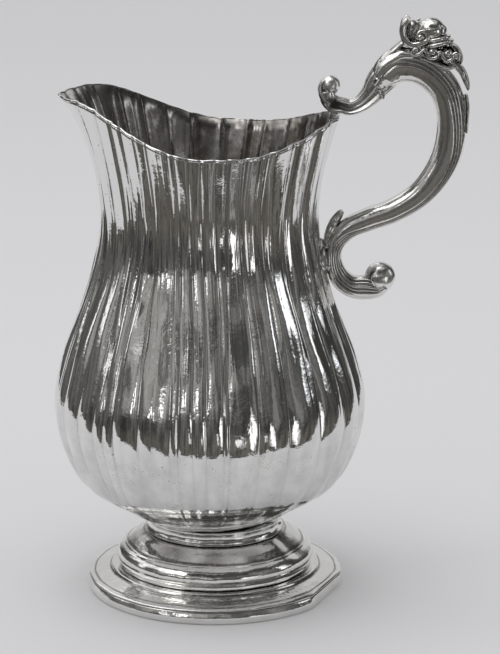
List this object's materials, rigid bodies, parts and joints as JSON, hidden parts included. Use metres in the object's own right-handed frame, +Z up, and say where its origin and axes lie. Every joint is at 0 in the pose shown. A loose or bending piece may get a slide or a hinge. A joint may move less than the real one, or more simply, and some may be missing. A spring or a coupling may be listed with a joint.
{
  "type": "water pitcher",
  "caption": "Lobed silver water pitcher with a wavy rim, a pulled spout, a cast scroll handle with a thumb rest, and a round stepped foot.",
  "frame": {"origin": "middle of the pitcher's bounding box, on the plane it stands on", "axes": "+Z up, +X from the body towards the handle, so the spout points to -X, +Y across the handle"},
  "size_m": [0.1902, 0.1446, 0.2694],
  "materials": {
    "body_silver": "polished silver, hammered and slightly rippled, with hairline scratches and small pits",
    "foot_silver": "polished spun silver with light scuffs and a dent at the edge",
    "cast_silver": "cast and chased silver, worn bright on the high parts, dark tarnish left in the hollows"
  },
  "bodies": {
    "root": {"body_shell": "body_silver", "rim_wire": "body_silver", "foot_collar": "foot_silver", "foot_dome": "foot_silver", "foot_flange": "foot_silver", "foot_base_band": "foot_silver", "handle_bow": "cast_silver", "handle_stem": "cast_silver", "rim_volute": "cast_silver", "lower_volute": "cast_silver", "mount_pad": "cast_silver", "spur_leaf": "cast_silver", "thumb_scroll": "cast_silver", "thumb_cap": "cast_silver", "thumb_bands": "cast_silver", "thumb_ruffle": "cast_silver", "thumb_leaf": "cast_silver", "back_leaf": "cast_silver"}
  },
  "joints": []
}
